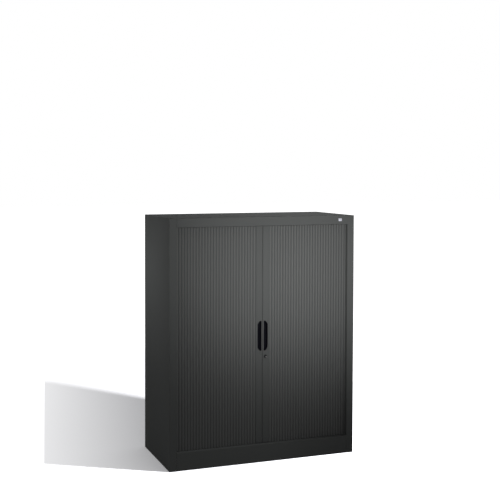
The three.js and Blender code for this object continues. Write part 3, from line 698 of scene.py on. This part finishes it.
def turned(section):
    """A turned piece about the lock's axis."""
    rings = []
    for i in range(TURNED_SIDES):
        angle = 2 * math.pi * i / TURNED_SIDES
        rings.append([
            (LOCK_X + radius * math.cos(angle), y, LOCK_Z + radius * math.sin(angle)) for radius, y in section
        ])
    mesh = loft(rings, closed=True)
    with on_the_bench(mesh) as work:
        bmesh.ops.remove_doubles(work, verts=work.verts, dist=MERGE_DISTANCE)
        bmesh.ops.recalc_face_normals(work, faces=work.faces)
    smooth(mesh)
    return mesh


def rib_height(u):
    """How far a slat's front stands out of the curtain's middle: a crowned rib with soft sloping flanks."""
    half = RIB_WIDTH / 2
    if abs(u) <= half:
        return RIB_FACE - RIB_CROWN * (u / half) ** 2
    fall = min((abs(u) - half) / FLANK_WIDTH, 1)
    return WEB_FRONT + (RIB_FACE - RIB_CROWN - WEB_FRONT) * (1 + math.cos(math.pi * fall)) / 2


def one_slat():
    """One slat of a shutter, standing at the origin, with a weight of painted shade that grows with how deep
    each point lies in the groove.
    """
    edge = SLAT_WIDTH / 2
    pad = BACK_PAD_WIDTH / 2
    half = [(edge, -WEB_FRONT), (edge, WEB_BACK), (pad, WEB_BACK), (pad, BACK_PAD_DEPTH)]
    back = half + [(-u, v) for u, v in reversed(half)]
    radii = [0] + [SLAT_ROUND] * (len(back) - 2) + [0]
    outline = rounded(back, radii, SMALL_ARC_STEPS)
    for i in range(1, RIB_STEPS):
        u = edge * (2 * i / RIB_STEPS - 1)
        outline.append((u, -rib_height(u)))
    mesh = loft([[(u, v, z) for u, v in outline] for z in (CURTAIN_BOTTOM, CURTAIN_TOP)])
    # Each point's weight of painted groove shade, from none on the rib's face to full at the web
    depth = mesh.attributes.new(PAINTED_GROOVE_SHADE, "FLOAT", "POINT")
    for vertex, shade in zip(mesh.vertices, depth.data):
        height = -vertex.co.y * METRE
        shade.value = min(max((RIB_FACE - height) / (RIB_FACE - WEB_FRONT), 0), 1)
    return mesh


def track_row():
    """The tree that stands a slat at every pitch along the front and round the front corner of the track."""
    inputs = {
        "Slat": "Geometry", "Count": "Int", "Pitch": "Float", "Start": "Float", "Middle": "Float",
        "Corner X": "Float", "Corner Radius": "Float", "Side": "Float", "Finish": "Material",
    }
    tree = bpy.data.node_groups.new("row of slats", "GeometryNodeTree")
    for name, kind in inputs.items():
        tree.interface.new_socket(name, in_out="INPUT", socket_type="NodeSocket" + kind)
    tree.interface.new_socket("Row", in_out="OUTPUT", socket_type="NodeSocketGeometry")
    graph = Graph(tree)
    given = {name: graph.node("NodeGroupInput", output=name) for name in inputs}
    index = graph.node("GeometryNodeInputIndex")
    distance = (index + 0.5) * given["Pitch"]
    straight = given["Corner X"] - given["Start"]
    angle = (distance - straight).at_least(0) / given["Corner Radius"]
    x = given["Start"] + distance.at_most(straight) + given["Corner Radius"] * angle.sine()
    y = given["Middle"] + given["Corner Radius"] * (1 - angle.cosine())
    spot = graph.node("ShaderNodeCombineXYZ", {}, {"X": x * given["Side"], "Y": y, "Z": 0.0})
    points = graph.node("GeometryNodePoints", {}, {"Count": given["Count"], "Position": spot})
    euler = graph.node("ShaderNodeCombineXYZ", {}, {"X": 0.0, "Y": 0.0, "Z": angle * given["Side"]})
    turn = graph.node("FunctionNodeEulerToRotation", {}, {"Euler": euler})
    stood = graph.node(
        "GeometryNodeInstanceOnPoints", {}, {"Points": points, "Instance": given["Slat"], "Rotation": turn}
    )
    whole = graph.node("GeometryNodeRealizeInstances", {}, {"Geometry": stood})
    dressed = graph.node("GeometryNodeSetMaterial", {}, {"Geometry": whole, "Material": given["Finish"]})
    graph.node("NodeGroupOutput", {}, {"Row": dressed})
    return tree


def give(modifier, **values):
    """Sets a tree's inputs by their sockets' identifiers."""
    wanted = {name.replace("_", " "): value for name, value in values.items()}
    for item in modifier.node_group.interface.items_tree:
        if item.item_type == "SOCKET" and item.in_out == "INPUT" and item.name in wanted:
            modifier[item.identifier] = wanted[item.name]


def shutter_slats(label, side, tree):
    piece = add_object(label + "_slats", one_slat(), slats)
    row = piece.modifiers.new("row", "NODES")
    row.node_group = tree
    give(
        row,
        Count=SLAT_COUNT,
        Pitch=SLAT_PITCH / METRE,
        Start=STILE_EDGE / METRE,
        Middle=CURTAIN_MIDDLE / METRE,
        Corner_X=TRACK_CORNER_X / METRE,
        Corner_Radius=TRACK_CORNER_RADIUS / METRE,
        Side=float(side),
        Finish=slats,
    )
    settle(piece)
    fit(piece, label + "_curtain")
    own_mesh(piece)


def cup_ring(side, inset, y):
    """The finger pull's D outline moved inwards by an inset, at a depth."""
    bottom = CUP_MIDDLE - CUP_HEIGHT / 2
    top = CUP_MIDDLE + CUP_HEIGHT / 2
    outer = CUP_INNER_X + CUP_WIDTH
    slope = Vector((CUP_CHAMFER, CUP_WIDTH - CUP_TOP_FLAT)).normalized()
    flat_end = CUP_INNER_X + CUP_TOP_FLAT + inset * (slope.y - 1) / slope.x
    run = outer - inset - CUP_INNER_X - CUP_TOP_FLAT
    drop = (inset + slope.x * run) / slope.y
    corners = [
        (CUP_INNER_X + inset, bottom + inset), (flat_end, bottom + inset), (outer - inset, bottom + drop),
        (outer - inset, top - drop), (flat_end, top - inset), (CUP_INNER_X + inset, top - inset),
    ]
    corner = max(CUP_CORNER - inset, CUP_LEAST_CORNER)
    shoulder = max(CUP_SHOULDER - inset, CUP_LEAST_CORNER)
    outline = rounded(corners, [CUP_INNER_CORNER, corner, shoulder, shoulder, corner, CUP_INNER_CORNER])
    return [(side * x, y, z) for x, z in outline]


def handle_cup(label, side):
    mesh = loft([cup_ring(side, inset, SHUTTER_FACE + depth) for inset, depth in CUP_SECTION])
    piece = add_object(label + "_finger_pull", mesh, moulding)
    fit(piece, label + "_handle_cup")


def lock_collar():
    piece = add_object("lock_ring", turned(LOCK_RING_SECTION), dark_nickel)
    fit(piece, "lock_collar")


def lock_plug():
    piece = add_object("lock_core", turned(LOCK_CORE_SECTION), nickel)
    slot = box_outline(KEYWAY_WIDTH / 2, KEYWAY_HEIGHT / 2, KEYWAY_CORNER, SMALL_ARC_STEPS)
    depths = (LOCK_CORE_FRONT - CUTTER_REACH, LOCK_CORE_FRONT + KEYWAY_DEPTH)
    rings = [[(LOCK_X + u, y, LOCK_Z + v) for u, v in slot] for y in depths]
    cut_away(piece, add_object("keyway_cutter", loft(rings), nickel))
    smooth(piece.data)
    fit(piece, "lock_plug")


def blank_plate():
    """A plain plate with round corners and soft edges on the fascia, with nothing on it."""
    rings = []
    for inset, proud in PLATE_SECTION:
        outline = box_outline(PLATE_WIDTH / 2 - inset, PLATE_HEIGHT / 2 - inset, PLATE_CORNER - inset)
        rings.append([(PLATE_X + u, FRONT - proud, PLATE_Z + v) for u, v in outline])
    piece = add_object("blank_plate", loft(rings), blank_metal)
    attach(piece, "cabinet")


def meeting_seal():
    """The thin round-nosed strip in the seam between the stiles, carried by the left shutter."""
    left_edge = [(SEAL_LEFT, SEAL_BACK), (SEAL_LEFT, SEAL_FRONT)]
    right_edge = [(SEAL_RIGHT, SEAL_FRONT), (SEAL_RIGHT, SEAL_BACK)]
    outline = rounded(left_edge + right_edge, SEAL_CORNERS)
    rings = [[(x, y, z) for x, y in outline] for z in (SEAL_BOTTOM, SEAL_TOP)]
    piece = add_object("meeting_seal", loft(rings), seal_black)
    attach(piece, "left_shutter")


slat_tree = track_row()
for label, side in (("left", -1), ("right", 1)):
    shutter_slats(label, side, slat_tree)
    handle_cup(label, side)
lock_collar()
lock_plug()
blank_plate()
meeting_seal()

for node in sorted(frame["nodes"]):
    if node in REMADE:
        continue
    finish = finish_of_slot[slot_of_node[node]]
    if node.endswith("_foot"):
        finish = foot_metal
    if node == "back_panel":
        finish = back_paint
    fit(finished_copy(node, finish), node)


def background_rays(graph):
    """How much of a ray comes straight from the camera, from a reflection or through glass."""
    seen, mirrored, through = [
        graph.node("ShaderNodeLightPath", output=name)
        for name in ("Is Camera Ray", "Is Glossy Ray", "Is Transmission Ray")
    ]
    return (seen + mirrored + through).at_most(1)


def stage_finish(name):
    """The floor: pale, with painted light that lightens the cupboard's shadow with distance in sight and
    reflections, dull in what it throws back.
    """
    finish = Finish(name)
    place = finish.place()
    x = finish.along("X", place)
    y = finish.along("Y", place)
    lean = math.sin(math.radians(FLOOR_GLOW_TURN))
    straight = math.cos(math.radians(FLOOR_GLOW_TURN))
    beside = (y * lean - x * straight).size()
    behind = (x * lean + y * straight).size() * FLOOR_GLOW_DEPTH_SHARE
    away = beside.at_least(behind)
    # Painted light: the glow lightens the shadow away from the cupboard, ends it past a line, and is left out
    # under the cupboard
    near = (away - FLOOR_GLOW_START).at_least(0) * FLOOR_GLOW_RISE
    far = (away - FLOOR_GLOW_END).at_least(0) * FLOOR_GLOW_END_RISE
    under = (x.size() < HALF_WIDTH / METRE) * (y.size() < BACK / METRE)
    glow = (near + far).at_most(1) * (1 - under)
    bright = finish.node("ShaderNodeEmission", {}, {"Color": (*WHITE, 1), "Strength": glow})
    pale = finish.node("ShaderNodeBsdfDiffuse", {}, {"Color": (*FLOOR_PALE, 1)})
    seen = finish.node("ShaderNodeAddShader", {}, {0: pale, 1: bright})
    dull = finish.node("ShaderNodeBsdfDiffuse", {}, {"Color": (*FLOOR_DULL, 1)})
    shader = finish.node("ShaderNodeMixShader", {}, {0: background_rays(finish), 1: dull, 2: seen})
    finish.node("ShaderNodeOutputMaterial", {}, {"Surface": shader})
    return finish.material


def stage():
    half = FLOOR_HALF
    corners = [(-half, -half, 0), (half, -half, 0), (half, half, 0), (-half, half, 0)]
    mesh = bpy.data.meshes.new("floor")
    mesh.from_pydata(corners, [], [(0, 1, 2, 3)])
    floor = add_object("floor", mesh, stage_finish("pale floor"))
    return floor


def world():
    """White behind the cupboard, and a grey room as a light."""
    backdrop = bpy.data.worlds.new("studio")
    bpy.context.scene.world = backdrop
    backdrop.use_nodes = True
    graph = Graph(backdrop.node_tree)
    graph.tree.nodes.clear()
    white = graph.node("ShaderNodeBackground", {}, {"Color": (*WHITE, 1), "Strength": 1.0})
    room = graph.node("ShaderNodeBackground", {}, {"Color": (*WHITE, 1), "Strength": ROOM_LIGHT})
    shader = graph.node("ShaderNodeMixShader", {}, {0: background_rays(graph), 1: room, 2: white})
    graph.node("ShaderNodeOutputWorld", {}, {"Surface": shader})


def aim(thing, place, ahead):
    """Stands a lamp or camera at a place, facing ahead, and puts it in the scene."""
    thing.location = place
    thing.rotation_mode = "QUATERNION"
    thing.rotation_quaternion = ahead.to_track_quat("-Z", "Y")
    bpy.context.scene.collection.objects.link(thing)
    return thing


def panel_lamp(name, place, target, width, power):
    light = bpy.data.lights.new(name, "AREA")
    light.shape = "DISK"
    light.size = width
    light.energy = power
    return aim(bpy.data.objects.new(name, light), place, Vector(target) - Vector(place))


def spot_lamp(name, place, target, radius, power, cone):
    light = bpy.data.lights.new(name, "SPOT")
    light.shadow_soft_size = radius
    light.energy = power
    light.spot_size = math.radians(cone)
    light.spot_blend = 1.0
    return aim(bpy.data.objects.new(name, light), place, Vector(target) - Vector(place))


def link_light(lamp, piece, state):
    """The lamp lights this piece alone, or all but this piece. Everything throws shadows either way."""
    lit = bpy.data.collections.new(lamp.name + " lights")
    lit.objects.link(piece)
    lit.collection_objects[0].light_linking.link_state = state
    lamp.light_linking.receiver_collection = lit


def camera():
    yaw = math.radians(CAMERA_YAW)
    pitch = math.radians(CAMERA_PITCH)
    seat = bpy.data.cameras.new("camera")
    seat.sensor_width = SENSOR_WIDTH
    seat.lens = CAMERA_FOCAL / PICTURE_WIDTH * SENSOR_WIDTH
    seat.shift_x = (PICTURE_MIDDLE - CAMERA_AXIS_X) / PICTURE_WIDTH
    seat.shift_y = (CAMERA_AXIS_Y - PICTURE_MIDDLE) / PICTURE_WIDTH
    seat.clip_end = CAMERA_REACH
    ahead = Vector((math.sin(yaw) * math.cos(pitch), math.cos(yaw) * math.cos(pitch), -math.sin(pitch)))
    bpy.context.scene.camera = aim(bpy.data.objects.new("camera", seat), CAMERA_PLACE, ahead)


floor = stage()
world()
link_light(panel_lamp(*SHADOW_LAMP), floor, "INCLUDE")
for lamp in [spot_lamp(*row) for row in SPOTS] + [panel_lamp(*row) for row in PANELS]:
    link_light(lamp, floor, "EXCLUDE")
camera()
bpy.context.scene.view_settings.view_transform = "Standard"
